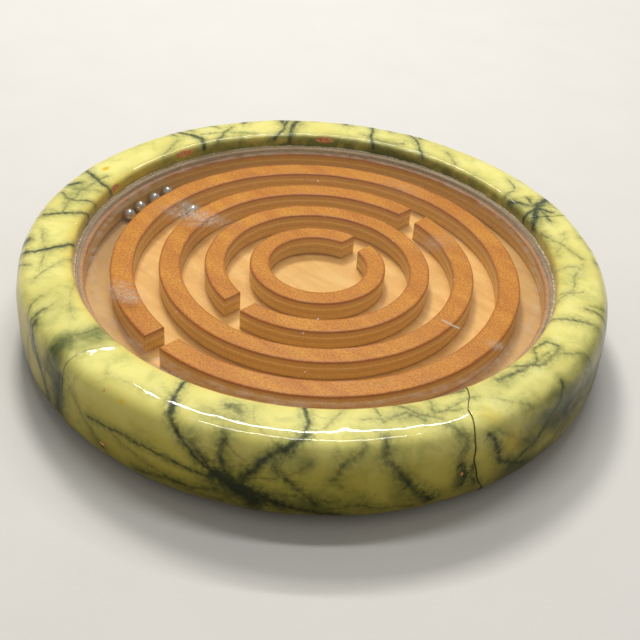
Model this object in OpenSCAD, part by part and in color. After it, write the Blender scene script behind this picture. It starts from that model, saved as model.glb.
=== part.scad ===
// Round tilt maze game: a turned wooden tray with a skin-covered rim, a ring
// maze of stained walls, a clear cover and five loose steel balls.
// Origin: centre of the resting face. +Z up. The gaps of the first and third
// ring walls face +Y, those of the second and fourth face -Y.

/* [Rim] */
// Outside diameter of the rim over its skin
rim_d = 300; // [290:5:330]
// Overall height, from the felt to the top of the rim
tray_h = 46; // [44:1:52]
// Diameter of the circle along which the rim is highest
crown_d = 262; // [258:1:268]
// Diameter of the well inside the lip
well_d = 244.4; // [243.8:0.2:246]
// Diameter of the flat underside
base_d = 266; // [262:1:268]
// Height at which the rim is widest
equator_h = 15; // [12:1:20]
// Squareness of the shoulder and of the lip's edge
shoulder_power = 4.8; // [3.6:0.2:5.4]
// Squareness of the rim's lower curve
foot_power = 2.5; // [2:0.1:3.5]
// Thickness of the lacquered skin
skin_t = 0.8; // [0.6:0.1:1]
// Direction of each seam between two skin panels, in degrees
seam_at = [64, 142, 220, 267.5, 344]; // [0:0.5:359.5]

/* [Maze] */
// Inner radius of the four ring walls, from the middle out
wall_r = [25, 47.6, 70.1, 93.5]; // [20:0.1:100]
// Thickness of the four ring walls
wall_w = [10, 10.3, 10.8, 11.5]; // [8:0.1:12]
// Direction of the middle of each wall's gap, in degrees
gap_at = [90.5, 268, 89.5, 267.5]; // [0:0.5:359.5]
// Width of the gaps
gap_w = 11.2; // [8:0.2:12]
// Inner radius of the border that closes the outer channel
border_r = 117.6; // [117.4:0.1:119]
// Height of the walls above the floor
wall_h = 10.5; // [8:0.5:12]
// Thickness of the maze floor
floor_t = 5; // [4:0.5:6]
// Easing of the walls' top edges
wall_ease = 0.5; // [0.2:0.1:1]

/* [Cover] */
// Depth of the well above the clear cover
well_depth = 7; // [6:0.5:8]
// Thickness of the clear cover
cover_t = 3; // [2:0.5:4]
// Play between the well and what is dropped into it
well_play = 0.3; // [0.2:0.1:0.5]

/* [Balls] */
// Diameter of the steel balls
ball_d = 6.35; // [5:0.05:6.35]
// Direction in which each ball lies, the one on the inner track last
ball_at = [182.6, 187.7, 193.7, 198.8, 184.8]; // [0:0.1:359.9]
// Radius of the track of the balls in the outermost channel
outer_track_r = 114.2; // [108.4:0.1:114.2]
// Radius of the track of the last ball, one channel further in
inner_track_r = 90; // [84.2:0.1:90.2]

/* [Bottom] */
// Thickness of the felt
felt_t = 1.8; // [1.5:0.1:2]
// Thickness of the bottom board
board_t = 5; // [4:0.5:6]
// Diameter of the bottom board
board_d = 243.4; // [240:0.2:246]
// Inner diameter of the ledge that carries the maze
ledge_d = 224; // [210:2:226]
// Number of screws through the bottom board
screw_n = 6; // [4:1:8]
// Length of the screws
screw_l = 14; // [12:1:16]
// Shank diameter of the screws
screw_d = 3.5; // [3:0.1:4]

/* [Hidden] */
$fn = 180;
panel_n = len(seam_at);
panels = [for (i = [1:panel_n]) str("goatskin_panel_", i)];
walls = [for (i = [1:len(wall_r)]) str("maze_wall_", i)];
balls = [for (i = [1:len(ball_at)]) str("ball_", i)];

curve_steps = 14;                   // straight pieces in each curve of the rim
skin_z = felt_t - skin_t;           // lowest point of the skin
cover_top = tray_h - well_depth;
cover_z = cover_top - cover_t;
floor_z = cover_z - wall_h;         // top face of the maze floor
ledge_z = floor_z - floor_t;
drop_in_r = well_d / 2 - well_play; // everything that drops into the well
ball_lift = 0.1;                    // keeps the balls just clear of the floor
felt_gap = 0.5;                     // between the felt and the skin's edge
board_play = 0.3;
screw_turn = 30;                    // direction of the first screw
screw_r = board_d / 2 - 4.7;        // radius of the ring of screws
head_d = 2 * screw_d;
head_h = 2.1;
tip_d = 0.6;
pilot_bite = 0.1;                   // how much thinner the pilot hole is
slot_w = 0.8;
slot_depth = 0.7;
through = 1;                        // overshoot of every cutting solid

// A quarter of a superellipse, from its side (0) to its crown (90 degrees).
function quarter(centre, reach, power) = [for (i = [0:curve_steps])
    let (a = 90 * i / curve_steps)
    centre + [reach.x * pow(cos(a), 2 / power), reach.y * pow(sin(a), 2 / power)]];

function reversed(list) = [for (i = [len(list) - 1:-1:0]) list[i]];

// Section of the rim from its foot, round the outside, over the top and down
// into the well, taken in by "inset".
function rim_curve(inset) =
    let (side_r = rim_d / 2 - inset,
         lip_r = well_d / 2 + inset,
         top_z = tray_h - inset,
         bottom_z = skin_z + inset)
    concat(
        reversed(quarter([base_d / 2, equator_h],
            [side_r - base_d / 2, bottom_z - equator_h], foot_power)),
        quarter([crown_d / 2, equator_h],
            [side_r - crown_d / 2, top_z - equator_h], shoulder_power),
        reversed(quarter([crown_d / 2, cover_top],
            [lip_r - crown_d / 2, top_z - cover_top], shoulder_power)),
        [[lip_r, cover_z]]);

function next_seam(i) = i + 1 < panel_n ? seam_at[i + 1] : seam_at[0] + 360;

module screw_places() {
    for (i = [0:screw_n - 1])
        rotate(screw_turn + i * 360 / screw_n)
            translate([screw_r, 0, felt_t]) children();
}

module rim_core() {
    color("burlywood") difference() {
        rotate_extrude() polygon(concat(rim_curve(skin_t), [
            [well_d / 2, cover_z],
            [well_d / 2, ledge_z],
            [ledge_d / 2, ledge_z],
            [ledge_d / 2, felt_t + board_t],
            [board_d / 2 + board_play, felt_t + board_t],
            [board_d / 2 + board_play, felt_t]]));
        screw_places() cylinder(h = screw_l, d = screw_d - pilot_bite, $fn = 24);
    }
}

module goatskin_panel(i) {
    color("khaki") rotate(seam_at[i])
        rotate_extrude(angle = next_seam(i) - seam_at[i])
            polygon(concat(rim_curve(0), reversed(rim_curve(skin_t))));
}

module maze_floor() {
    color("wheat") translate([0, 0, ledge_z]) cylinder(h = floor_t, r = drop_in_r);
}

// Section of a ring wall with eased top edges.
module wall_section(inner, width) {
    translate([inner, floor_z]) polygon([
        [0, 0], [width, 0], [width, wall_h - wall_ease],
        [width - wall_ease, wall_h], [wall_ease, wall_h], [0, wall_h - wall_ease]]);
}

module maze_border() {
    color("chocolate") rotate_extrude()
        wall_section(border_r, drop_in_r - border_r);
}

module maze_wall(i) {
    color("peru") difference() {
        rotate_extrude() wall_section(wall_r[i], wall_w[i]);
        rotate(gap_at[i]) translate([0, -gap_w / 2, floor_z - through])
            cube([wall_r[i] + wall_w[i] + through, gap_w, wall_h + 2 * through]);
    }
}

module clear_cover() {
    color("whitesmoke", 0.3) translate([0, 0, cover_z])
        cylinder(h = cover_t, r = drop_in_r);
}

module ball(i) {
    track = i < len(ball_at) - 1 ? outer_track_r : inner_track_r;
    color("silver") rotate(ball_at[i])
        translate([track, 0, floor_z + ball_lift + ball_d / 2])
            sphere(d = ball_d, $fn = 48);
}

module bottom_board() {
    color("tan") difference() {
        translate([0, 0, felt_t]) cylinder(h = board_t, d = board_d);
        screw_places() {
            translate([0, 0, -through]) cylinder(h = board_t + 2 * through,
                d = screw_d + 2 * board_play, $fn = 24);
            cylinder(h = head_h, d1 = head_d, d2 = screw_d, $fn = 24);
        }
    }
}

module bottom_screws() {
    color("gray") screw_places() difference() {
        union() {
            cylinder(h = head_h, d1 = head_d, d2 = screw_d, $fn = 24);
            cylinder(h = screw_l - screw_d, d = screw_d, $fn = 24);
            translate([0, 0, screw_l - screw_d])
                cylinder(h = screw_d, d1 = screw_d, d2 = tip_d, $fn = 24);
        }
        translate([-head_d, -slot_w / 2, -through])
            cube([2 * head_d, slot_w, slot_depth + through]);
    }
}

module base_felt() {
    color("saddlebrown") cylinder(h = felt_t, d = base_d - 2 * felt_gap);
}

rim_core();
for (i = [0:panel_n - 1])
    goatskin_panel(i);
maze_floor();
maze_border();
for (i = [0:len(walls) - 1])
    maze_wall(i);
clear_cover();
for (i = [0:len(balls) - 1])
    ball(i);
bottom_board();
bottom_screws();
base_felt();
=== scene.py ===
import math

import bmesh
import bpy
import numpy as np
from mathutils import Matrix, Vector


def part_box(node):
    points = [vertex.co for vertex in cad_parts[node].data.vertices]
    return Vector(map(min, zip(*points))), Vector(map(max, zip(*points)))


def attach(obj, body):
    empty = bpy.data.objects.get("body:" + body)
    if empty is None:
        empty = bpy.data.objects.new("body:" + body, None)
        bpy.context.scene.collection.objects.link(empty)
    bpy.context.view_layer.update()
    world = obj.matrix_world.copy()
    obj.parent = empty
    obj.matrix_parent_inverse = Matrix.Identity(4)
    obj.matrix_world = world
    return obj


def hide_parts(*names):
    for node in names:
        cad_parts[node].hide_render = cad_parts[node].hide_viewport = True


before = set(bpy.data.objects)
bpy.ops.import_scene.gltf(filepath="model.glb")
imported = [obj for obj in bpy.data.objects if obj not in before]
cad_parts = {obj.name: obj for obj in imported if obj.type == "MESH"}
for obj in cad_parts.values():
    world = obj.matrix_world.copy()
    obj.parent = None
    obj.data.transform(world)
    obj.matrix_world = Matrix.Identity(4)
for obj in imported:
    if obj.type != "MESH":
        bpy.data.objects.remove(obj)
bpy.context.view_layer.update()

# ---------------------------------------------------------------------------
# The table and the light.
# A pale matt table top. A soft window high up behind the tray lights its top and
# leaves the near side in shade; two narrow tubes draw the thin lines on the lacquer.

mm = 0.001


def tint(red, green, blue):
    """A paint colour given in ordinary 0 to 255 values, as the shaders want it."""
    return [((c / 255 + 0.055) / 1.055) ** 2.4 if c > 10 else c / 3295 for c in (red, green, blue)] + [1]


def put(tree, kind, *wired, **given):
    """Adds one node. Named values go to its settings or inputs, the wired ones to its inputs in order."""
    made = tree.nodes.new("ShaderNode" + kind)
    named = [(key, value) for key, value in given.items() if hasattr(made, key)]
    for key, value in named:
        setattr(made, key, value)
    sockets = list(enumerate(wired))
    sockets += [(key.replace("_", " "), value) for key, value in given.items() if not hasattr(made, key)]
    for key, value in sockets:
        if isinstance(value, bpy.types.NodeSocket):
            tree.links.new(value, made.inputs[key])
        elif value is not None:
            made.inputs[key].default_value = value
    return made


def maths(tree, operation, *values, clamp=False):
    return put(tree, "Math", *values, operation=operation, use_clamp=clamp).outputs[0]


def spread(tree, value, low, high, to_low=0.0, to_high=1.0):
    """Maps low..high smoothly to to_low..to_high."""
    made = put(tree, "MapRange", value, low, high, to_low, to_high, interpolation_type="SMOOTHSTEP")
    return made.outputs[0]


def mixed(tree, share, first, second, blend="MIX"):
    made = put(tree, "Mix", data_type="RGBA", blend_type=blend)
    for socket, value in ((0, share), (6, first), (7, second)):
        if isinstance(value, bpy.types.NodeSocket):
            tree.links.new(value, made.inputs[socket])
        else:
            made.inputs[socket].default_value = value
    return made.outputs[2]


def ramp(tree, value, *stops):
    """Colours along a value: each stop is (place, colour)."""
    made = put(tree, "ValToRGB", value)
    band = made.color_ramp
    while len(band.elements) < len(stops):
        band.elements.new(0.5)
    for element, (place, colour) in zip(band.elements, stops):
        element.position = place
        element.color = colour
    return made.outputs[0]


def place(tree, stretch=(1, 1, 1), turn=0):
    """The piece's own coordinates in metres, turned about Z by so many degrees and stretched."""
    spot = put(tree, "TexCoord").outputs["Object"]
    return put(tree, "Mapping", spot, Rotation=(0, 0, math.radians(turn)), Scale=stretch).outputs[0]


def noise(tree, size, detail=4, rough=0.55, where=None, warp=0.0):
    """Cloudy noise whose lumps are about size metres across."""
    where = where or place(tree)
    return put(tree, "TexNoise", Vector=where, Scale=1 / size, Detail=detail, Roughness=rough,
               Distortion=warp).outputs[0]


def relief(tree, height, depth, strength=1.0, under=None):
    """Bumps of the given depth in metres."""
    return put(tree, "Bump", Strength=strength, Distance=depth, Height=height, Normal=under).outputs[0]


def finish(name):
    """A new material with its shader: returns the material, its node tree and the shader's inputs."""
    made = bpy.data.materials.new(name)
    made.use_nodes = True
    tree = made.node_tree
    shader = next(n for n in tree.nodes if n.type == "BSDF_PRINCIPLED")
    return made, tree, shader.inputs


def wire(tree, inputs, **given):
    """Sets or links the shader's own sockets."""
    for key, value in given.items():
        socket = inputs[key.replace("_", " ")]
        if isinstance(value, bpy.types.NodeSocket):
            tree.links.new(value, socket)
        else:
            socket.default_value = value


table_size = 3.0
bpy.ops.mesh.primitive_plane_add(size=table_size)
table = bpy.context.object
table.name = "table_top"
table.location.z = -0.1 * mm
table_paint, tree, shader = finish("pale_table")
mottle = noise(tree, 0.05)
wire(tree, shader, Base_Color=mixed(tree, mottle, tint(223, 221, 216), tint(230, 228, 223)), Roughness=0.6,
     Normal=relief(tree, noise(tree, 0.002), 0.0001))
table.data.materials.append(table_paint)

world = bpy.data.worlds.new("studio")
bpy.context.scene.world = world
world.use_nodes = True
world.node_tree.nodes["Background"].inputs["Color"].default_value = (1.0, 0.975, 0.93, 1)
world.node_tree.nodes["Background"].inputs["Strength"].default_value = 0.3

tray_middle = Vector((0, 0, 36 * mm))


def from_tray(azimuth, elevation, distance):
    """A point seen from the middle of the tray: degrees round from +X, degrees up, metres."""
    a, e = math.radians(azimuth), math.radians(elevation)
    way = Vector((math.cos(a) * math.cos(e), math.sin(a) * math.cos(e), math.sin(e)))
    return tray_middle + distance * way


def lamp(name, azimuth, elevation, distance, width, height, power, colour=(1, 1, 1)):
    """A flat lamp turned to the tray; width and height in metres, power in watts."""
    light = bpy.data.lights.new(name, "AREA")
    light.shape = "RECTANGLE"
    light.size = width
    light.size_y = height
    light.energy = power
    light.color = colour
    holder = bpy.data.objects.new(name, light)
    bpy.context.scene.collection.objects.link(holder)
    holder.location = from_tray(azimuth, elevation, distance)
    aim = tray_middle - holder.location
    holder.rotation_euler = aim.to_track_quat("-Z", "Y").to_euler()
    return holder


window = lamp("window", 148, 55, 1.6, 0.3, 0.3, 11.6, (1.0, 0.97, 0.92))
window.visible_glossy = False
tubes = [lamp("high_tube", 135, 80.4, 1.5, 0.9, 0.09, 6),
         lamp("near_tube", 132, 52.5, 1.44, 0.74, 0.05, 4.4)]

# ---------------------------------------------------------------------------
# The camera, held above one edge of the table and tipped a little to one side.

camera_heading = 129.0
camera_pitch = 36.7
camera_roll = 6.06
camera_at = (315.7 * mm, -351.6 * mm, 351.7 * mm)
view = bpy.data.cameras.new("camera")
view.lens = 61.8
view.sensor_width = 36
view.shift_x = -0.060
view.shift_y = 0.0066
view.clip_start = 0.01
camera = bpy.data.objects.new("camera", view)
bpy.context.scene.collection.objects.link(camera)
aim = Matrix.Rotation(math.radians(camera_heading - 90), 4, "Z")
aim @= Matrix.Rotation(math.radians(90 - camera_pitch), 4, "X")
aim @= Matrix.Rotation(math.radians(camera_roll), 4, "Z")
camera.matrix_world = Matrix.Translation(camera_at) @ aim
bpy.context.scene.camera = camera
bpy.context.scene.view_settings.view_transform = "Standard"

# ---------------------------------------------------------------------------
# The rim's wooden core, turned from one plank, rebated inside to carry the maze
# and below to take the bottom board. The skin covers all of it that would show.


def wood_finish(name, light, dark, ring_gap=2.2 * mm, gloss=0.5):
    """Plain sawn and turned wood with growth rings, streaks and pores along Y."""
    made, tree, shader = finish(name)
    warp = noise(tree, 30 * mm, detail=3, where=place(tree, (1, 0.15, 1)))
    across = put(tree, "SeparateXYZ", place(tree)).outputs[0]
    bent = maths(tree, "MULTIPLY_ADD", across, 6.28 / ring_gap, maths(tree, "MULTIPLY", warp, 40))
    rings = maths(tree, "SINE", bent)
    streaks = noise(tree, 1.5 * mm, where=place(tree, (1, 0.06, 1)))
    pores = noise(tree, 0.35 * mm, detail=2, where=place(tree, (1, 0.12, 1)))
    share = maths(tree, "ADD", maths(tree, "MULTIPLY", rings, 0.25), streaks)
    colour = ramp(tree, share, (0.25, tint(*dark)), (0.8, tint(*light)))
    colour = mixed(tree, spread(tree, pores, 0.62, 0.72, 0, 0.5), colour, tint(*[c * 0.6 for c in dark]))
    wire(tree, shader, Base_Color=colour, Roughness=maths(tree, "MULTIPLY_ADD", streaks, 0.2, gloss - 0.1),
         Normal=relief(tree, pores, 0.08 * mm, under=relief(tree, streaks, 0.1 * mm)))
    return made


def dress(node, material):
    """Gives a CAD node its finish."""
    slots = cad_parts[node].data.materials
    slots.clear()
    slots.append(material)


dress("rim_core", wood_finish("turned_plank", (205, 170, 118), (160, 120, 74)))

# ---------------------------------------------------------------------------
# The goatskin. Five dyed panels, stretched wet over the core and lacquered like
# glass. Each panel's first edge laps over the end of the panel before it.

lip_r = 122.2
crown_r = 131
side_r = 150
foot_r = 133
cover_top = 39
rim_top = 46
lip_tuck = 2.9
equator = 15
foot_z = 1
shoulder_power = 4.8
foot_power = 2.5
skin_t = 0.78
seams = (64, 142, 220, 267.5, 344)
skin_step = 0.7
rng = np.random.default_rng(11)


def quarter(centre, reach, power):
    """A quarter of a superellipse, from its side to its crown, as (radius, height) rows."""
    a = np.linspace(0, math.pi / 2, 120)
    radius = centre[0] + reach[0] * np.cos(a) ** (2 / power)
    height = centre[1] + reach[1] * np.sin(a) ** (2 / power)
    return np.stack([radius, height], 1)


rim_line = np.concatenate([
    [(lip_r, cover_top - lip_tuck)],
    quarter((crown_r, cover_top), (lip_r - crown_r, rim_top - cover_top), shoulder_power),
    quarter((crown_r, equator), (side_r - crown_r, rim_top - equator), shoulder_power)[-2::-1],
    quarter((foot_r, equator), (side_r - foot_r, foot_z - equator), foot_power)[1:]])
rim_run = np.concatenate([[0], np.cumsum(np.hypot(*np.diff(rim_line, axis=0).T))]) - lip_tuck
rim_way = np.gradient(rim_line, rim_run, axis=0)
rim_way /= np.hypot(*rim_way.T)[:, None]


def on_rim(angle, run, lift):
    """Points on the rim: degrees round it, mm along its section from the lip's foot, mm above the skin."""
    r, z, way_r, way_z = (np.interp(run, rim_run, column) for column in (*rim_line.T, *rim_way.T))
    r = r - lift * way_z
    z = z + lift * way_r
    a = np.radians(angle)
    return np.stack([r * np.cos(a), r * np.sin(a), z], -1)


def swell(spots, size, seed, waves=24):
    """A smooth random field, about -1 to 1, over points in mm, whose swells are about size mm across."""
    draw = np.random.default_rng(seed)
    total = np.zeros(spots.shape[:-1])
    for _ in range(waves):
        way = draw.normal(size=3)
        way *= draw.uniform(0.6, 1.5) * math.pi / size / np.linalg.norm(way)
        total += np.sin(spots @ way + draw.uniform(0, 6.28))
    return total / math.sqrt(waves / 2) * 0.6


def seam_drift(index, run):
    """How far a seam wanders from its straight line, in degrees, along the section."""
    bends = {3: ((6, 2), (15, 0), (25, -1), (45, -1.5), (60, -2)),
             4: ((6, 2), (13, 0.5), (20, -2), (35, -3.3), (45, -3), (55, -2), (65, 0)),
             2: ((6, 0), (12, -1), (20, 0), (28, -2), (34, -4), (60, -3)),
             0: ((6, 0.5), (20, -0.8), (40, 1.2), (65, 0.4)), 1: ((6, -0.5), (18, 0.8), (40, -1), (65, 1))}
    run_at, drift = np.array(bends[index]).T
    return np.interp(run, run_at, drift) + 0.12 * np.sin(run / 2.3 + index)


# Veins of the dyed skin: how dark, half width in mm, then the way each takes
# over the rim as (degrees round, mm along the section).
veins = [
    (1.0, 0.7, ((288, 2), (288, 12), (288, 20))), (1.2, 1.2, ((288, 20), (288.3, 24), (288.6, 27))),
    (1.0, 0.9, ((288.8, 28), (291, 33), (296, 45), (300, 54))),
    (1.3, 2.3, ((298, 49), (300, 53), (302, 57), (304, 61))),
    (0.9, 2.2, ((301, 52), (304, 57), (309, 62))),
    (0.8, 0.6, ((300, 54), (296, 51), (290, 49), (282, 47), (277, 48), (273, 50))),
    (0.7, 0.6, ((298, 58), (290, 61), (283, 63))), (0.9, 0.9, ((303, 58), (308, 62), (318, 65))),
    (0.8, 1.5, ((293, 34), (296, 42), (298, 50))),
    (0.8, 1.8, ((299, 29), (298.5, 38), (299.5, 47), (301, 53))),
    (0.95, 0.9, ((312.5, 2), (312, 12), (312, 18), (311.5, 25))),
    (1.2, 1.3, ((311.5, 25), (310.5, 29), (309, 32))),
    (0.95, 1.4, ((309, 31), (307, 34), (305, 40), (303, 47), (302, 54))),
    (0.65, 1.7, ((308, 30), (308, 40), (311, 48), (315, 58))),
    (0.35, 0.5, ((300.5, 3), (302, 12), (305, 22), (308, 30))),
    (0.7, 1.4, ((297, 15.5), (299, 16), (300.5, 17))), (0.4, 1.6, ((294, 20), (297, 22), (301, 20))),
    (0.5, 0.5, ((320, 3), (317, 12), (314.5, 20), (312, 25))),
    (0.6, 0.6, ((325, 6), (326, 17), (331, 13), (334, 18))), (0.6, 0.8, ((328, 4), (332, 12), (337, 20))),
    (0.55, 0.5, ((337, 4), (336, 14), (341, 19))), (0.8, 0.7, ((338, 2), (341, 7), (345, 10))),
    (0.6, 0.5, ((331, 15), (338, 16), (345, 15))), (0.5, 0.5, ((322, 14), (328, 16), (333, 16))),
    (0.7, 1.8, ((326, 25), (325, 35), (328, 45))), (0.85, 1.5, ((328, 45), (331, 55), (334, 62))),
    (0.6, 1.4, ((322, 28), (319, 36), (317, 46))), (0.6, 1.6, ((337, 24), (339, 34), (338, 46))),
    (0.75, 0.9, ((358, 6), (0, 12), (4, 18), (8, 20), (11, 18), (11, 10), (7, 8), (4, 14))),
    (0.8, 1.2, ((353, 10), (356, 12), (359, 13))), (0.7, 0.7, ((356, 12), (2, 14), (8, 17))),
    (0.4, 0.7, ((348, 18), (352, 25), (356, 32))),
    (0.9, 1.0, ((343, 33), (346, 45), (350, 58), (353, 65))),
    (0.8, 1.0, ((350, 62), (356, 50), (358, 42), (1, 35), (3, 28))),
    (0.5, 0.9, ((345, 33), (352, 45), (355, 56))), (0.7, 0.9, ((20, 4), (21, 14), (22, 30), (20, 44))),
    (0.6, 0.8, ((8, 20), (13, 30), (14, 42))), (0.5, 0.7, ((27, 6), (33, 12), (38, 15), (43, 20))),
    (0.5, 0.6, ((30, 6), (33, 18))), (0.5, 0.6, ((41, 5), (42, 20))),
    (0.6, 0.7, ((45, 20), (50, 15), (55, 9), (58, 5))), (0.45, 0.5, ((46, 8), (52, 14), (57, 20))),
    (1.2, 1.5, ((61, 3), (63, 9), (66, 15), (69, 21), (71, 28))),
    (1.1, 1.1, ((66, 2), (66, 10), (68, 22))), (1.0, 1.0, ((73, 4), (70, 10), (68, 17), (64, 22))),
    (0.8, 0.8, ((61, 16), (66, 18), (73, 15))), (0.6, 0.6, ((75, 5), (78, 15), (82, 20))),
    (0.55, 0.6, ((95, 10), (100, 20))), (0.9, 0.8, ((104, 4), (107, 13), (109, 20), (112, 28))),
    (1.0, 0.9, ((119, 3), (120.5, 12), (121, 21), (122, 28))),
    (0.6, 0.6, ((112, 12), (117, 10), (124, 14))), (1.0, 1.0, ((142, 4), (141, 15), (139, 25))),
    (1.0, 0.8, ((147, 5), (143, 15), (141, 27))), (0.8, 0.8, ((163, 5), (160, 15), (157, 22))),
    (1.1, 1.1, ((168, 3), (167, 10), (168, 20), (170, 30))), (0.6, 0.7, ((180, 8), (172, 18))),
    (0.6, 0.6, ((152, 10), (158, 16), (166, 17))),
    (1.0, 0.8, ((201.5, 3), (201, 12), (199, 20), (197, 27))), (0.5, 1.6, ((204, 10), (205, 20))),
    (0.8, 0.7, ((209, 4), (210, 15), (208, 25))), (0.9, 0.8, ((214, 3), (216, 12), (217, 25))),
    (1.1, 0.8, ((228, 5), (230, 11), (231, 16), (232, 24), (230, 36))),
    (0.5, 0.6, ((235, 6), (237, 15), (241, 24))),
    (0.6, 0.6, ((197, 14), (203, 17), (210, 16), (217, 18))),
    (0.5, 0.5, ((224, 22), (231, 19), (238, 21))),
    (0.5, 0.7, ((262, 6), (261.5, 20), (261, 35), (258, 55))),
    (1.0, 2.2, ((264.5, 38), (264, 48), (263.5, 60))), (0.4, 0.5, ((244, 6), (249, 12), (256, 15))),
    (0.4, 0.5, ((250, 20), (254, 30), (253, 44))), (0.35, 0.4, ((274, 24), (279, 20), (286, 22))),
    (0.5, 0.7, ((291, 34), (294, 40), (295, 50))), (0.45, 0.6, ((300, 34), (304, 42), (303, 52))),
    (0.6, 0.5, ((296, 40), (300, 44), (304, 40), (308, 36))),
    (0.5, 0.6, ((302, 50), (308, 46), (313, 38))), (0.5, 0.8, ((305, 55), (312, 54), (318, 57))),
    (0.4, 0.6, ((316, 46), (321, 54), (324, 62))), (0.5, 0.6, ((312, 62), (320, 60), (331, 64))),
    (0.45, 0.5, ((278, 50), (284, 56), (292, 62), (299, 64))),
    (0.5, 0.6, ((268, 40), (271, 50), (276, 62))), (0.9, 1.2, ((338.2, 45), (339.2, 51), (338.4, 57))),
    (0.8, 0.9, ((340.6, 48), (340.2, 54), (341.5, 58)))]


def grown_veins(start, end, count):
    """More veins on a stretch of the rim's side: each wanders down and may fork."""
    grown = []
    for _ in range(count):
        tips = [(rng.uniform(start, end), rng.uniform(20, 34),
                 rng.uniform(-0.5, 0.5), rng.uniform(0.5, 1.1))]
        while tips:
            angle, run, lean, ink = tips.pop()
            way = [(angle, run)]
            for _ in range(rng.integers(4, 9)):
                lean += rng.normal(0, 0.25)
                angle += lean * 2.2
                run += rng.uniform(3, 6)
                way.append((angle, run))
                if rng.random() < 0.16 and len(tips) < 3 and ink > 0.4:
                    tips.append((angle, run, lean + rng.choice((-0.9, 0.9)), ink * 0.7))
            grown.append((ink, 0.5 + ink * rng.uniform(0.2, 0.9), way))
    return grown


veins += grown_veins(24, 262, 34)

# Soft green clouds of dye, on the far lip wall partly painted shade: degrees round, mm along, reach in mm
# both ways, strength.
dye_clouds_and_lip_shade = (
    (263.5, 12, 9, 15, 1.0), (262, 34, 8, 18, 1.2), (4, 42, 30, 14, 0.95), (14, 32, 24, 9, 0.6),
    (24, 52, 30, 18, 0.9), (352, 14, 16, 7, 0.35), (357, 24, 22, 6, 0.3), (300, 24, 16, 7, 0.3),
    (331, 14, 18, 8, 0.35), (312, 60, 28, 9, 0.6), (304, 44, 12, 12, 0.35), (66, 12, 12, 9, 0.45),
    (141, 14, 10, 8, 0.35), (110, 20, 30, 7, 0.25), (205, 18, 16, 7, 0.35), (250, 20, 20, 9, 0.3),
    # The three clouds at 1 mm along lie on the lip's inner wall round the far side and are partly painted
    # shade.
    (190, 52, 60, 20, 0.4), (95, 48, 70, 16, 0.4), (322, 42, 40, 12, 0.2), (120, 1, 190, 8, 1.1),
    (215, 1, 60, 4, 0.6), (30, 1, 90, 4, 0.5), (300, 56, 10, 8, 0.8))
# The darkest of the dye, in the same way.
murks = (
    (6, 46, 34, 13, 1), (26, 52, 30, 16, 1), (352, 64, 24, 9, 0.8), (262.5, 40, 5, 22, 0.6),
    (301, 57, 7, 6, 0.8), (312, 36, 4, 6, 0.35), (328, 54, 6, 9, 0.4), (338.5, 52, 3, 7, 0.7),
    (70, 4, 10, 5, 0.4), (110, 1, 40, 4, 0.5))
# Worn spots where the lacquer has chipped to the brown size below.
chips = (
    (173.5, 4.5, 7.5, 2.4, 1), (132.6, 4.5, 7, 2, 1), (198.9, 4, 4.2, 2, 1), (90, 4, 1.4, 1, 0.9),
    (267.4, 3.5, 1.6, 1.2, 1), (25, 4, 2.2, 1, 0.9), (353, 3.4, 1.4, 0.7, 0.8), (339, 51, 0.9, 2, 0.7),
    (276, 31, 0.6, 0.6, 1), (276, 60, 2.5, 1.2, 0.7), (306, 62, 1.5, 1, 0.5))
# Drops where the yellow dye lies thick.
drops = (
    (194.5, 19, 3.2, 2, 1), (280, 31, 1.4, 1.6, 0.9), (345, 26, 9, 9, 0.45), (349, 42, 9, 12, 0.45))
turn_mm = math.radians(1) * 140


def turns_apart(angle, other):
    return (angle - other + 180) % 360 - 180


def patches(angle, run, blots):
    """How strongly each point lies in a list of soft round blots."""
    share = np.zeros(angle.shape)
    for at, along, wide, deep, force in blots:
        away = (turns_apart(angle, at) * turn_mm / wide) ** 2 + ((run - along) / deep) ** 2
        share = np.maximum(share, force * np.exp(-away))
    return share


def vein_marks(angle, run):
    """Two marks for each point: how near a vein's core it is, and how deep in the stain around one."""
    core = np.zeros(angle.shape)
    halo = np.zeros(angle.shape)
    for ink, half, way in veins:
        for (a0, s0), (a1, s1) in zip(way, way[1:]):
            along_x = turns_apart(a1, a0) * turn_mm
            along_y = s1 - s0
            x = turns_apart(angle, a0) * turn_mm
            y = run - s0
            part = np.clip((x * along_x + y * along_y) / (along_x ** 2 + along_y ** 2), 0, 1)
            away = np.hypot(x - part * along_x, y - part * along_y)
            core = np.maximum(core, ink * np.clip(1 - away / (2.4 * half), 0, 1))
            halo = np.maximum(halo, ink * np.exp(-(away / (1.6 + 2.6 * half)) ** 2))
    return core, halo


def shell(name, outer, inner):
    """A closed shell between two grids of points in mm with the same rows and columns."""
    columns, rows = outer.shape[:2]
    index = np.arange(2 * columns * rows).reshape(2, columns, rows)
    faces = []
    for side, order in ((index[0], 1), (index[1], -1)):
        corners = [side[:-1, :-1], side[:-1, 1:], side[1:, 1:], side[1:, :-1]]
        faces.append(np.stack(corners, -1).reshape(-1, 4)[:, ::order])
    edges = ((index[:, :, 0], 1), (index[:, :, -1], -1), (index[:, 0, :], -1), (index[:, -1, :], 1))
    for edge, order in edges:
        faces.append(np.stack([edge[0, :-1], edge[0, 1:], edge[1, 1:], edge[1, :-1]], -1)[:, ::order])
    points = np.concatenate([outer.reshape(-1, 3), inner.reshape(-1, 3)])
    return mesh_piece(name, points, np.concatenate(faces))


def mesh_piece(name, points, faces):
    """A smooth-shaded piece from points in mm."""
    made = bpy.data.meshes.new(name)
    made.from_pydata((np.asarray(points) * mm).tolist(), [], [list(map(int, face)) for face in faces])
    made.polygons.foreach_set("use_smooth", [True] * len(made.polygons))
    made.update()
    piece = bpy.data.objects.new(name, made)
    bpy.context.scene.collection.objects.link(piece)
    return piece


def mark(piece, name, values):
    """Keeps a number at every point of a piece for its finish to read."""
    layer = piece.data.attributes.new(name, "FLOAT", "POINT")
    layer.data.foreach_set("value", np.asarray(values, dtype=np.float32).ravel())


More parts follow.
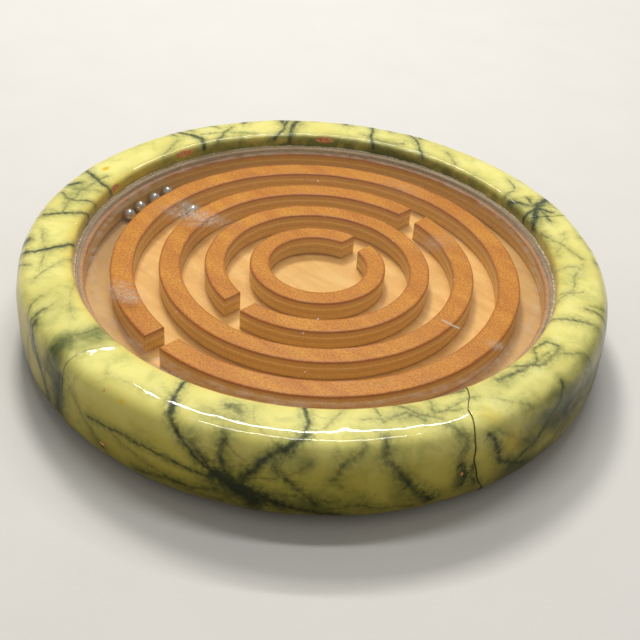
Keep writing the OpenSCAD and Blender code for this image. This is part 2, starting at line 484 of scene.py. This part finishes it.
def marked(tree, name):
    return put(tree, "Attribute", attribute_name=name).outputs["Fac"]


def cracks(tree, size, where):
    """Distance to the nearest edge in a pattern of cells about size metres across."""
    return put(tree, "TexVoronoi", Vector=where, Scale=1 / size, feature="DISTANCE_TO_EDGE").outputs[0]


def goatskin_finish():
    """Yellow dye, green clouds and dark veins under clear lacquer, chipped to the brown size in places.
    Painted shade darkens it towards the foot, and the clouds on the far lip wall are partly painted shade.
    """
    made, tree, shader = finish("lacquered_goatskin")
    vein, halo, cloud_and_lip_shade = marked(tree, "vein"), marked(tree, "halo"), marked(tree, "cloud_and_lip_shade")
    drift = noise(tree, 26 * mm, detail=5)
    clouds_seen = noise(tree, 11 * mm, detail=6, rough=0.6, warp=0.6)
    grain = noise(tree, 0.9 * mm, detail=5, rough=0.65)
    fray = noise(tree, 2.2 * mm, detail=5, rough=0.65)
    colour = mixed(tree, spread(tree, drift, 0.35, 0.65), tint(252, 244, 148), tint(244, 234, 134))
    colour = mixed(tree, spread(tree, clouds_seen, 0.48, 0.72, 0, 0.6), colour, tint(204, 206, 118))
    pale = noise(tree, 17 * mm, detail=3, where=place(tree, turn=50))
    colour = mixed(tree, spread(tree, pale, 0.56, 0.72, 0, 0.5), colour, tint(255, 250, 170))
    warm = maths(tree, "MULTIPLY", marked(tree, "warm"), maths(tree, "ADD", grain, 0.4), clamp=True)
    colour = mixed(tree, warm, colour, tint(240, 196, 52))
    cells = cracks(tree, 13 * mm, place(tree))
    wander = maths(tree, "MULTIPLY_ADD", fray, 0.12, cells)
    threads = maths(tree, "MULTIPLY", spread(tree, wander, 0.045, 0.075, 1, 0),
                    spread(tree, clouds_seen, 0.45, 0.62, 0, 0.35))
    # Green clouds of dye; those on the far lip wall are partly painted shade.
    green = maths(tree, "MULTIPLY", cloud_and_lip_shade, maths(tree, "MULTIPLY_ADD", clouds_seen, 2.2, -0.2), clamp=True)
    colour = mixed(tree, green, colour, tint(124, 132, 70))
    murk = maths(tree, "MULTIPLY", marked(tree, "murk"), spread(tree, clouds_seen, 0.3, 0.55, 0.4, 0.95))
    colour = mixed(tree, murk, colour, tint(62, 70, 38))
    # The vein stains grow stronger towards the foot along with the painted shade.
    halo = maths(tree, "MULTIPLY", halo, maths(tree, "MULTIPLY_ADD", marked(tree, "painted_shade"), 0.7, 1))
    soft = maths(tree, "MULTIPLY", halo, spread(tree, fray, 0.25, 0.75, 0.2, 0.95), clamp=True)
    colour = mixed(tree, soft, colour, tint(106, 116, 68))
    colour = mixed(tree, threads, colour, tint(96, 108, 66))
    swelling = maths(tree, "MULTIPLY_ADD", noise(tree, 6 * mm, detail=3), 1.3, 0.3)
    core = maths(tree, "MULTIPLY", vein, swelling)
    core = maths(tree, "MULTIPLY_ADD", maths(tree, "SUBTRACT", fray, 0.5), 0.4, core)
    ink = spread(tree, core, 0.08, 1.0, 0, 0.9)
    colour = mixed(tree, ink, colour, mixed(tree, grain, tint(32, 44, 34), tint(66, 78, 56)))
    specks = spread(tree, noise(tree, 0.5 * mm, detail=3), 0.66, 0.76, 0, 0.3)
    colour = mixed(tree, specks, colour, tint(196, 186, 96))
    # Painted shade: the skin's colour darkens towards its foot. The lacquer coat thins there too.
    low_down = marked(tree, "painted_shade")
    painted_shade = ramp(tree, maths(tree, "MULTIPLY_ADD", drift, 0.12, low_down), (0.06, tint(255, 255, 255)),
                  (0.36, tint(206, 198, 150)), (0.7, tint(178, 170, 122)), (1.0, tint(112, 102, 70)))
    colour = mixed(tree, 1.0, colour, painted_shade, "MULTIPLY")
    ragged = noise(tree, 5 * mm, detail=6, rough=0.7)
    chip = maths(tree, "MULTIPLY", marked(tree, "chip"), maths(tree, "ADD", ragged, 0.35))
    chip = spread(tree, chip, 0.36, 0.41)
    size_brown = mixed(tree, spread(tree, grain, 0.42, 0.58), tint(190, 116, 64), tint(240, 174, 116))
    colour = mixed(tree, chip, colour, size_brown)
    colour = mixed(tree, spread(tree, marked(tree, "drop"), 0.2, 0.9), colour, tint(238, 196, 30))
    colour = mixed(tree, spread(tree, marked(tree, "seam"), 0.25, 0.9, 0, 0.9), colour, tint(44, 38, 26))
    gloss = maths(tree, "MULTIPLY_ADD", chip, 0.4, 0.32)
    dent = relief(tree, grain, 0.05 * mm, under=relief(tree, vein, 0.12 * mm, -0.6))
    wire(tree, shader, Base_Color=colour, Roughness=gloss, Specular_IOR_Level=0.12, Normal=dent,
         Coat_Weight=maths(tree, "MULTIPLY_ADD", low_down, -2.6, 1.0, clamp=True),
         Coat_Roughness=0.04, Coat_IOR=1.42)
    orange_peel = relief(tree, noise(tree, 7 * mm, detail=2), 0.06 * mm)
    tree.links.new(orange_peel, shader["Coat Normal"])
    return made


goatskin = goatskin_finish()
lap = 1.5
# How plainly each seam shows.
crisp = (0.3, 0.3, 0.8, 1, 1)
rows = np.arange(rim_run[0], rim_run[-1], skin_step)
for i, seam in enumerate(seams):
    after = (i + 1) % len(seams)
    swing = (seams[after] - seam) % 360
    length = swing * math.radians(1) * side_r + lap
    fine = np.array([0, 0.1, 0.22, 0.36, 0.55, 0.8, 1.1])
    across = np.concatenate([fine, np.arange(1.5, length - 1.4, skin_step), length - fine[::-1]])
    t, run = np.meshgrid(across, rows, indexing="ij")
    first = seam + seam_drift(i, run)
    last = seam + swing + seam_drift(after, run) + lap / side_r / math.radians(1)
    angle = first + (last - first) * t / length
    left = length - t
    spots = on_rim(angle, run, 0)
    ripple = 0.16 * swell(spots, 24, 5) + 0.05 * swell(spots, 7, 6)
    bruise = patches(angle, run, chips)
    raised = 0.3 * crisp[i] * np.exp(-(t / 3) ** 2) - 0.34 * crisp[i] * np.clip(1 - t / 0.36, 0, 1) ** 2
    tucked = -0.42 * np.clip((1.9 - left) / 0.8, 0, 1)
    wander = np.stack([swell(spots, size, seed) for size, seed in ((15, 21), (15, 22), (5, 23), (5, 24))])
    sideways = (1.5 * wander[0] + 0.5 * wander[2]) / turn_mm
    marks = vein_marks(angle + sideways, run + 1.5 * wander[1] + 0.5 * wander[3])
    lift = ripple + raised + tucked - 0.35 * bruise + 0.07 * marks[1]
    outer = on_rim(angle, run, lift)
    inner = on_rim(angle, run, -skin_t + 0.38 * np.exp(-(t / 2.5) ** 2))
    panel = shell("goatskin_%d" % (i + 1), outer, inner)
    warmth = np.clip(1 - (run - 2) / 9, 0, 1) * (0.5 + 0.5 * np.exp(-(turns_apart(angle, 225) / 55) ** 2))
    own_seam = crisp[i] * np.clip(1 - t / 0.5, 0, 1)
    next_seam = crisp[after] * np.clip(1 - np.abs(left - lap) / 0.9, 0, 1)
    # The mark that grows from 25 mm along the section down to the foot is painted shade.
    shading = {"vein": marks[0], "halo": marks[1], "cloud_and_lip_shade": patches(angle, run, dye_clouds_and_lip_shade),
               "murk": patches(angle, run, murks), "warm": warmth,
               "painted_shade": np.clip((run - 25) / 50, 0, 1), "chip": bruise, "drop": patches(angle, run, drops),
               "seam": own_seam + next_seam}
    for name, values in shading.items():
        mark(panel, name, np.concatenate([values.ravel(), values.ravel()]))
    panel.data.materials.append(goatskin)
    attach(panel, "tray")
    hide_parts("goatskin_panel_%d" % (i + 1))

# ---------------------------------------------------------------------------
# The maze floor: a disc of light plywood, sealed but not stained, dropped on the
# rim's ledge. It is mottled with dust; a painted shadow of the rim darkens its
# outer channel, most on the left.

floor_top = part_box("maze_floor")[1][2] / mm
wall_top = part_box("maze_border")[1][2] / mm
maze_grain = 32


def far_from(tree, x, y):
    """Distance in mm from a point, seen from above."""
    flat = place(tree, (1 / mm, 1 / mm, 0))
    return put(tree, "VectorMath", flat, (x, y, 0), operation="DISTANCE").outputs["Value"]


floor_ply, tree, shader = finish("sealed_ply")
figure = noise(tree, 6 * mm, detail=5, where=place(tree, (0.18, 1, 1), maze_grain), warp=0.4)
fibre = noise(tree, 0.5 * mm, detail=4, where=place(tree, (0.12, 1, 1), maze_grain))
dust = noise(tree, 14 * mm, detail=6, rough=0.65)
colour = ramp(tree, figure, (0.3, tint(234, 182, 104)), (0.55, tint(246, 200, 122)),
              (0.75, tint(252, 212, 140)))
colour = mixed(tree, spread(tree, fibre, 0.55, 0.75, 0, 0.35), colour, tint(196, 144, 78))
colour = mixed(tree, spread(tree, dust, 0.5, 0.75, 0, 0.35), colour, tint(206, 158, 96))
# Painted shadow of the rim: the outer channel darkens, most on the left.
from_middle = far_from(tree, 0, 0)
from_left = far_from(tree, -105, -20)
painted_rim_shadow = maths(tree, "MULTIPLY", spread(tree, from_middle, 104, 107),
              spread(tree, from_left, 95, 30, 0.35, 0.8))
colour = mixed(tree, painted_rim_shadow, colour, tint(166, 134, 94))
wire(tree, shader, Base_Color=colour, Roughness=0.42, Normal=relief(tree, fibre, 0.04 * mm))
dress("maze_floor", floor_ply)

# ---------------------------------------------------------------------------
# The border and the four ring walls: routed from one sheet of plywood, stained
# orange brown and varnished, then glued to the floor. Their top edges are eased.

wall_from = (25, 47.6, 70.1, 93.5)
wall_w = (10, 10.3, 10.8, 11.5)
gap_at = (90.5, 268, 89.5, 267.5)
gap_w = 11.2
border_from = 117.6
border_to = 122.15
ease = 0.9
wall_step = 1.1


def flank(face, way, rounding):
    """One side of a wall, from its foot over its eased edge, as (radius, height, nearness to the edge)."""
    side = [(face, z, 0) for z in np.linspace(floor_top, wall_top - rounding - 0.5, 9)]
    side.append((face, wall_top - rounding - 0.2, 0.3))
    side += [(face + way * rounding * (1 - math.cos(a)), wall_top - rounding * (1 - math.sin(a)), 1)
             for a in np.linspace(0, math.pi / 2, 6)]
    for more, near in ((0.35, 0.35), (0.9, 0), (1.8, 0)):
        side.append((face + way * (rounding + more), wall_top, near))
    return side


def wall_section(start, end, outer_ease):
    """Points round a wall's section, from its inside foot to its outside foot."""
    return np.array(flank(start, 1, ease) + flank(end, -1, outer_ease)[::-1])


def stained_ply(name, tops):
    """Stained plywood: speckled varnished top, plies showing on the sides, dark at the eased edges."""
    made, tree, shader = finish(name)
    facing = put(tree, "SeparateXYZ", put(tree, "TexCoord").outputs["Normal"]).outputs[2]
    height = put(tree, "SeparateXYZ", put(tree, "TexCoord").outputs["Object"]).outputs[2]
    figure = noise(tree, 9 * mm, detail=5, where=place(tree, (0.22, 1, 1), maze_grain), warp=0.5)
    fibre = noise(tree, 0.6 * mm, detail=4, rough=0.6, where=place(tree, (0.28, 1, 1), maze_grain))
    speck = noise(tree, 1.0 * mm, detail=4, rough=0.8)
    top = ramp(tree, figure, *zip((0.3, 0.5, 0.72), (tint(*c) for c in tops)))
    top = mixed(tree, spread(tree, fibre, 0.46, 0.64, 0, 0.65), top, tint(182, 106, 28))
    top = mixed(tree, spread(tree, speck, 0.52, 0.64, 0, 0.5), top, tint(252, 188, 74))
    top = mixed(tree, spread(tree, speck, 0.48, 0.38, 0, 0.8), top, tint(150, 72, 20))
    level = maths(tree, "MULTIPLY_ADD", noise(tree, 12 * mm), 0.5 * mm, height)
    low, high = floor_top * mm, wall_top * mm
    plies = put(tree, "MapRange", level, low, high, 0, 1).outputs[0]
    side = ramp(tree, plies, (0.0, tint(206, 170, 92)), (0.14, tint(236, 202, 116)),
                (0.36, tint(234, 198, 112)), (0.40, tint(214, 176, 96)), (0.60, tint(228, 190, 106)),
                (0.66, tint(248, 226, 168)), (0.70, tint(226, 188, 106)), (0.88, tint(212, 168, 90)),
                (1.0, tint(176, 122, 56)))
    chatter = noise(tree, 0.9 * mm, detail=4, where=place(tree, (1, 1, 0.6)))
    side = mixed(tree, spread(tree, chatter, 0.4, 0.7, 0, 0.3), side, tint(178, 132, 66))
    colour = mixed(tree, spread(tree, facing, 0.45, 0.85), side, top)
    rubbed = noise(tree, 3.5 * mm, detail=5)
    edge = maths(tree, "MULTIPLY", marked(tree, "edge"), spread(tree, rubbed, 0.3, 0.6, 0.45, 1))
    colour = mixed(tree, maths(tree, "MULTIPLY", edge, 0.45), colour, tint(176, 92, 36))
    bare = maths(tree, "MULTIPLY", marked(tree, "edge"), spread(tree, rubbed, 0.66, 0.72))
    colour = mixed(tree, bare, colour, tint(214, 170, 116))
    wire(tree, shader, Base_Color=colour, Roughness=maths(tree, "MULTIPLY_ADD", speck, 0.25, 0.22),
         Specular_IOR_Level=0.5, Normal=relief(tree, speck, 0.06 * mm, under=relief(tree, fibre, 0.05 * mm)))
    return made


def ring_wall(name, start, end, gap, outer_ease=ease):
    """A ring of the wall's section; with a gap its ends are cut square across and lightly eased."""
    section = wall_section(start, end, outer_ease)
    ease_back = np.array([0, 0.12, 0.3, 0.6])
    draw_in = np.array([0.3, 0.12, 0.03, 0])
    steps = int(2 * math.pi * end / wall_step)
    middle = (start + end) / 2
    if gap is None:
        turns = np.linspace(0, 360, steps, endpoint=False)[:, None] + 0 * section[:, 0]
        pinch = np.zeros(steps)
    else:
        length = steps * wall_step
        share = np.concatenate([ease_back, np.linspace(1, length - 1, steps - 2), length - ease_back[::-1]])
        share /= length
        half = np.degrees(np.arcsin(gap_w / 2 / section[:, 0]))
        turns = gap + half + share[:, None] * (360 - 2 * half)
        pinch = np.concatenate([draw_in, np.zeros(steps - 2), draw_in[::-1]])
    r = middle + (section[:, 0] - middle) * (1 - pinch / (end - start) * 2)[:, None]
    z = section[:, 1] - pinch[:, None] * (section[:, 1] > wall_top - 2)
    a = np.radians(turns)
    grid = np.stack([r * np.cos(a), r * np.sin(a), z], -1)
    wobble = 0.07 * swell(grid, 9, 31) + 0.04 * swell(grid, 3, 32)
    grid[..., 2] += wobble * (section[:, 2] > 0.5)
    grid[..., :2] *= (1 + 0.9 * wobble * (section[:, 1] > floor_top + 0.5) / r)[..., None]
    columns, rows = grid.shape[:2]
    index = np.arange(columns * rows).reshape(columns, rows)
    after = np.roll(index, -1, 0) if gap is None else index[1:]
    before = index if gap is None else index[:-1]
    below = np.roll(np.arange(rows), -1)
    faces = np.stack([before, before[:, below], after[:, below], after], -1).reshape(-1, 4).tolist()
    if gap is not None:
        faces += [index[0, ::-1].tolist(), index[-1].tolist()]
    piece = mesh_piece(name, grid.reshape(-1, 3), faces)
    mark(piece, "edge", np.broadcast_to(section[:, 2], (columns, rows)))
    if gap is not None:
        for cap in piece.data.polygons[-2:]:
            cap.use_smooth = False
    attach(piece, "tray")
    return piece


border = ring_wall("border_ring", border_from, border_to, None, 0.1)
border_stain = stained_ply("border_stain", ((206, 154, 84), (222, 172, 100), (234, 186, 114)))
border.data.materials.append(border_stain)
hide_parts("maze_border")
wall_stain = stained_ply("wall_stain", ((204, 124, 16), (221, 147, 26), (235, 167, 46)))
for i, start in enumerate(wall_from):
    wall = ring_wall("ring_wall_%d" % (i + 1), start, start + wall_w[i], gap_at[i])
    wall.data.materials.append(wall_stain)
    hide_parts("maze_wall_%d" % (i + 1))

# ---------------------------------------------------------------------------
# The five balls: bearing steel, polished, with the fine scratches and dull spots
# that rolling on wood leaves.

steel, tree, shader = finish("polished_steel")
haze = noise(tree, 1.6 * mm, detail=5)
scratch = noise(tree, 0.25 * mm, detail=2, where=place(tree, (1, 0.06, 0.4), 25))
wire(tree, shader, Base_Color=mixed(tree, haze, tint(206, 209, 212), tint(232, 233, 234)), Metallic=0.85,
     Roughness=maths(tree, "MULTIPLY_ADD", spread(tree, haze, 0.35, 0.75), 0.16, 0.14),
     Normal=relief(tree, scratch, 0.008 * mm, 0.6))
for i in range(1, 6):
    low, high = (Vector(corner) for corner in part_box("ball_%d" % i))
    made = bmesh.new()
    bmesh.ops.create_icosphere(made, subdivisions=5, radius=(high - low).x / 2)
    flats = [Vector(rng.normal(size=3)).normalized() for _ in range(14)]
    for vert in made.verts:
        way = vert.co.normalized()
        near = max(way.dot(flat) for flat in flats)
        vert.co *= 1 - 0.006 * max(0, (near - 0.985) / 0.015)
        vert.co += (low + high) / 2
    for face in made.faces:
        face.smooth = True
    shape = bpy.data.meshes.new("steel_ball_%d" % i)
    made.to_mesh(shape)
    made.free()
    shape.materials.append(steel)
    ball = bpy.data.objects.new("steel_ball_%d" % i, shape)
    bpy.context.scene.collection.objects.link(ball)
    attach(ball, "rolling_ball_%d" % i)
    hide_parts("ball_%d" % i)

# ---------------------------------------------------------------------------
# The clear cover: a disc of acrylic sheet laid on the walls. It is scuffed and
# scratched, and has a milky ring where old adhesive has crept in from the edge.

cover_low, cover_high = (Vector(corner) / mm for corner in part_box("clear_cover"))
cover_r = cover_high.x - 0.05
sheet_gap = 0.05
cover_bevel = 0.35


def turned(name, section, steps, wobble=None):
    """A solid of revolution in mm from a section that starts and ends on the axis."""
    ring = section[1:-1]
    a = np.radians(np.linspace(0, 360, steps, endpoint=False))[:, None]
    grid = np.stack([ring[:, 0] * np.cos(a), ring[:, 0] * np.sin(a), ring[:, 1] + 0 * a], -1)
    if wobble is not None:
        grid = wobble(grid)
    count = len(ring)
    index = np.arange(steps * count).reshape(steps, count)
    after = np.roll(index, -1, 0)
    faces = np.stack([index[:, :-1], after[:, :-1], after[:, 1:], index[:, 1:]], -1).reshape(-1, 4).tolist()
    first, last = steps * count, steps * count + 1
    for k in range(steps):
        faces += [[first, int(after[k, 0]), int(index[k, 0])], [last, int(index[k, -1]), int(after[k, -1])]]
    ends = [(0, 0, section[0][1]), (0, 0, section[-1][1])]
    return mesh_piece(name, np.concatenate([grid.reshape(-1, 3), ends]), faces)


def disc_section(radius, low, high, round_low, round_high, step):
    """Section of a disc from the middle of its underside to the middle of its top, with rounded edges."""
    under = [(r, low) for r in np.arange(0, radius - round_low, step)]
    turn = [(radius - round_low * (1 - math.sin(a)), low + round_low * (1 - math.cos(a)))
            for a in np.linspace(0, math.pi / 2, 6)]
    turn += [(radius - round_high * (1 - math.cos(a)), high - round_high * (1 - math.sin(a)))
             for a in np.linspace(0, math.pi / 2, 6)]
    top = [(r, high) for r in np.arange(0, radius - round_high, step)[::-1]]
    return np.array(under + turn + top)


sheet = disc_section(cover_r, cover_low.z + sheet_gap, cover_high.z, 0.2, cover_bevel, 1.5)
cover = turned("clear_sheet", sheet, 480)
spots = np.array([vert.co[:] for vert in cover.data.vertices]) / mm
outward = np.hypot(spots[:, 0], spots[:, 1])
upper = spots[:, 2] > cover_high.z - 1
# Scuffs on the sheet: x, y, reach along and across in mm, heading in degrees, strength.
scuffs = (
    (-72, -21, 16, 6, 28, 0.75), (-63, -22, 9, 3, 60, 0.7), (-80, -18, 8, 5, 0, 0.6),
    (-38, -93, 8, 5, 15, 0.8), (-45, -92, 5, 2, 70, 0.6), (-47, -88, 6, 1, 30, 0.6),
    (-33, -95, 5, 1.2, 60, 0.6), (106, 12, 5, 3, 20, 0.5), (20, -116, 12, 2, 10, 0.5),
    (70, -92, 10, 2.5, 40, 0.4), (30, 60, 14, 8, 80, 0.25), (-20, 90, 16, 6, 10, 0.2))
# The larger specks of white dust: x, y, radius in mm.
dust_specks = (
    (-56.3, 57.4, 0.8), (36.1, -37.2, 0.8), (39.2, -50.4, 0.6), (-12, -84, 0.5), (88, -52, 0.6),
    (-30, -66, 0.5), (60, -70, 0.5), (101, -30, 0.45))
# One deep bent scratch: the middle of its bend, its radius, and the middle and half length of the scratch.
scratch_bend = (76.3, 54.1, 46.1)
scratch_at = (81, 8.3, 6)


def scuffed(points):
    share = np.zeros(len(points))
    for x, y, along, across, heading, force in scuffs:
        c, s = math.cos(math.radians(heading)), math.sin(math.radians(heading))
        u = (points[:, 0] - x) * c + (points[:, 1] - y) * s
        v = (points[:, 1] - y) * c - (points[:, 0] - x) * s
        share = np.maximum(share, force * np.exp(-(u / along) ** 2 - (v / across) ** 2))
    return share


mark(cover, "scuff", scuffed(spots) * upper)
mark(cover, "upper", upper)
mark(cover, "creep", upper * np.exp(-((outward - 113.5) / 2.2) ** 2))
mark(cover, "rim_haze", upper * np.clip((outward - 111) / 9, 0, 1))
bearing = np.degrees(np.arctan2(spots[:, 1], spots[:, 0]))
# Frost at the sheet's edge is heavier round the far side: partly milky adhesive, partly painted light
# lifting the lip's shadow there.
far_painted_light = 0.35 + 0.65 * np.exp(-(turns_apart(bearing, 138) / 75) ** 2)
mark(cover, "frost_and_painted_light", np.clip((outward - 117.5) / 2.5, 0, 1) * far_painted_light)
acrylic, tree, shader = finish("scuffed_acrylic")
streak = noise(tree, 0.9 * mm, detail=5, rough=0.7, where=place(tree, (1, 0.35, 1), 20), warp=1.2)
blotch = noise(tree, 5 * mm, detail=5)
scuff = maths(tree, "MULTIPLY", marked(tree, "scuff"), spread(tree, streak, 0.4, 0.62, 0, 1.3), clamp=True)
creep = maths(tree, "MULTIPLY", marked(tree, "creep"), spread(tree, blotch, 0.3, 0.7, 0.05, 0.3))
veil = maths(tree, "MULTIPLY", marked(tree, "rim_haze"), 0.13)
film = spread(tree, blotch, 0.4, 0.8, 0.001, 0.01)
grit = spread(tree, noise(tree, 0.45 * mm, detail=2), 0.745, 0.77, 0, 0.35)
hair = cracks(tree, 9 * mm, place(tree, (1, 0.2, 1), 65))
hairs = maths(tree, "MULTIPLY", spread(tree, hair, 0.012, 0.004), spread(tree, streak, 0.55, 0.62, 0, 0.12))
off_line = maths(tree, "SUBTRACT", far_from(tree, *scratch_bend[:2]), scratch_bend[2])
off_line = maths(tree, "ABSOLUTE", off_line)
deep = maths(tree, "MULTIPLY", spread(tree, off_line, 0.75, 0.35, 0, 0.8),
             spread(tree, far_from(tree, *scratch_at[:2]), scratch_at[2], scratch_at[2] - 1.5))
for x, y, reach in dust_specks:
    deep = maths(tree, "MAXIMUM", deep, spread(tree, far_from(tree, x, y), reach, reach * 0.5, 0, 0.8))
milk = maths(tree, "MAXIMUM", scuff, maths(tree, "MULTIPLY", deep, marked(tree, "upper")))
frost_and_painted_light = maths(tree, "MULTIPLY", marked(tree, "frost_and_painted_light"), spread(tree, streak, 0.3, 0.7, 0.5, 0.95))
for more in (creep, veil, film, grit, hairs, frost_and_painted_light):
    milk = maths(tree, "MAXIMUM", milk, more)
facing = put(tree, "LayerWeight", Blend=0.5).outputs["Facing"]
shine = maths(tree, "MULTIPLY_ADD", maths(tree, "POWER", facing, 5), 0.975, 0.018)
share = maths(tree, "MAXIMUM", milk, shine)
milk_part = maths(tree, "DIVIDE", milk, maths(tree, "ADD", share, 0.001))
clear_part = maths(tree, "SUBTRACT", 1, milk_part, clamp=True)
# The frost's whitened colour is partly painted light in the lip's shadow.
colour = mixed(tree, frost_and_painted_light, tint(244, 234, 220), tint(255, 232, 186))
colour = mixed(tree, clear_part, colour, tint(255, 255, 255))
wire(tree, shader, Base_Color=colour, Metallic=clear_part,
     Roughness=maths(tree, "MULTIPLY_ADD", milk, 0.5, 0.03), Normal=relief(tree, blotch, 0.03 * mm))
clear = put(tree, "BsdfTransparent", Color=(0.985, 0.98, 0.965, 1))
both = put(tree, "MixShader", share, clear.outputs[0], shader["Base Color"].node.outputs[0])
tree.links.new(both.outputs[0], tree.nodes["Material Output"].inputs[0])
cover.data.materials.append(acrylic)
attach(cover, "tray")
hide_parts("clear_cover")
# The tubes light every piece but this sheet, which would only mirror them and hide the maze.
past_tubes = bpy.data.collections.new("past_tubes")
past_tubes.objects.link(cover)
past_tubes.collection_objects[0].light_linking.link_state = "EXCLUDE"
for tube in tubes:
    tube.light_linking.receiver_collection = past_tubes

# ---------------------------------------------------------------------------
# The bead of glue that holds the cover. It was run round the edge by hand, so it
# swells and thins, and it has gone milky with age.

bead_steps = 700
bead_r = 121.85
bead_section = 8
a = np.linspace(0, 2 * math.pi, bead_steps, endpoint=False)
on_ring = np.stack([bead_r * np.cos(a), bead_r * np.sin(a), 0 * a], -1)
thick = 0.5 + 0.2 * swell(on_ring, 9, 41) + 0.14 * swell(on_ring, 2.5, 42)
thick = np.clip(thick, 0.2, 0.9)[:, None]
b = np.linspace(0, 2 * math.pi, bead_section, endpoint=False)
r = bead_r + 0.15 * swell(on_ring, 6, 43)[:, None] + thick * np.cos(b) * 1.1
z = cover_high.z + 0.02 + thick * np.sin(b) * 0.6
grid = np.stack([r * np.cos(a)[:, None], r * np.sin(a)[:, None], z], -1)
index = np.arange(bead_steps * bead_section).reshape(bead_steps, bead_section)
after = np.roll(index, -1, 0)
faces = np.stack([index, after, np.roll(after, -1, 1), np.roll(index, -1, 1)], -1).reshape(-1, 4)
bead = mesh_piece("glue_bead", grid.reshape(-1, 3), faces)
glue, tree, shader = finish("old_glue")
lumps = noise(tree, 1.5 * mm, detail=4)
colour = ramp(tree, lumps, (0.35, tint(164, 140, 108)), (0.55, tint(204, 188, 158)),
              (0.7, tint(232, 222, 200)))
wire(tree, shader, Base_Color=colour,
     Roughness=maths(tree, "MULTIPLY_ADD", lumps, 0.3, 0.15), Normal=relief(tree, lumps, 0.1 * mm))
bead.data.materials.append(glue)
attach(bead, "tray")

# ---------------------------------------------------------------------------
# The bottom board, screwed up into the core, and its six slotted screws.

dress("bottom_board", wood_finish("sawn_board", (212, 180, 130), (172, 134, 88), 3.4 * mm, 0.65))
zinc, tree, shader = finish("dull_zinc")
bloom = noise(tree, 1.2 * mm, detail=5)
colour = ramp(tree, bloom, (0.35, tint(120, 112, 100)), (0.65, tint(178, 176, 170)))
wire(tree, shader, Base_Color=colour, Metallic=1.0,
     Roughness=maths(tree, "MULTIPLY_ADD", bloom, 0.35, 0.25), Normal=relief(tree, bloom, 0.02 * mm))
dress("bottom_screws", zinc)

# ---------------------------------------------------------------------------
# The felt: a disc of brown wool felt glued under the tray, over the board, the
# screws and the turned-in edge of the skin. Its cut edge is soft and hairy.

felt_low, felt_high = (Vector(corner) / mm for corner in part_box("base_felt"))
felt_r = felt_high.x


def fuzz(grid):
    """Small tufts: the sides move most, the face a little, and nothing goes below the table."""
    tufts = 0.14 * swell(grid, 1.6, 51, 40) + 0.1 * swell(grid, 5, 52)
    r = np.hypot(grid[..., 0], grid[..., 1])
    on_side = np.clip((r - felt_r + 1.5) / 1.5, 0, 1)
    grid[..., :2] *= (1 + (tufts - 0.25) * on_side / np.maximum(r, 1))[..., None]
    grid[..., 2] = np.clip(grid[..., 2] + 0.25 * tufts * (grid[..., 2] < 1), felt_low.z, felt_high.z)
    return grid


felt = turned("felt_disc", disc_section(felt_r, felt_low.z, felt_high.z - 0.02, 0.5, 0.3, 2.2), 560, fuzz)
felt_wool, tree, shader = finish("wool_felt")
nap = noise(tree, 0.5 * mm, detail=5, rough=0.7, warp=1.5)
matting = noise(tree, 9 * mm, detail=4)
colour = mixed(tree, spread(tree, nap, 0.3, 0.7), tint(58, 42, 28), tint(104, 78, 52))
colour = mixed(tree, spread(tree, matting, 0.35, 0.7, 0, 0.4), colour, tint(86, 70, 46))
wire(tree, shader, Base_Color=colour, Roughness=0.95, Sheen_Weight=0.5, Sheen_Roughness=0.5,
     Normal=relief(tree, nap, 0.35 * mm))
felt.data.materials.append(felt_wool)
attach(felt, "tray")
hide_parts("base_felt")
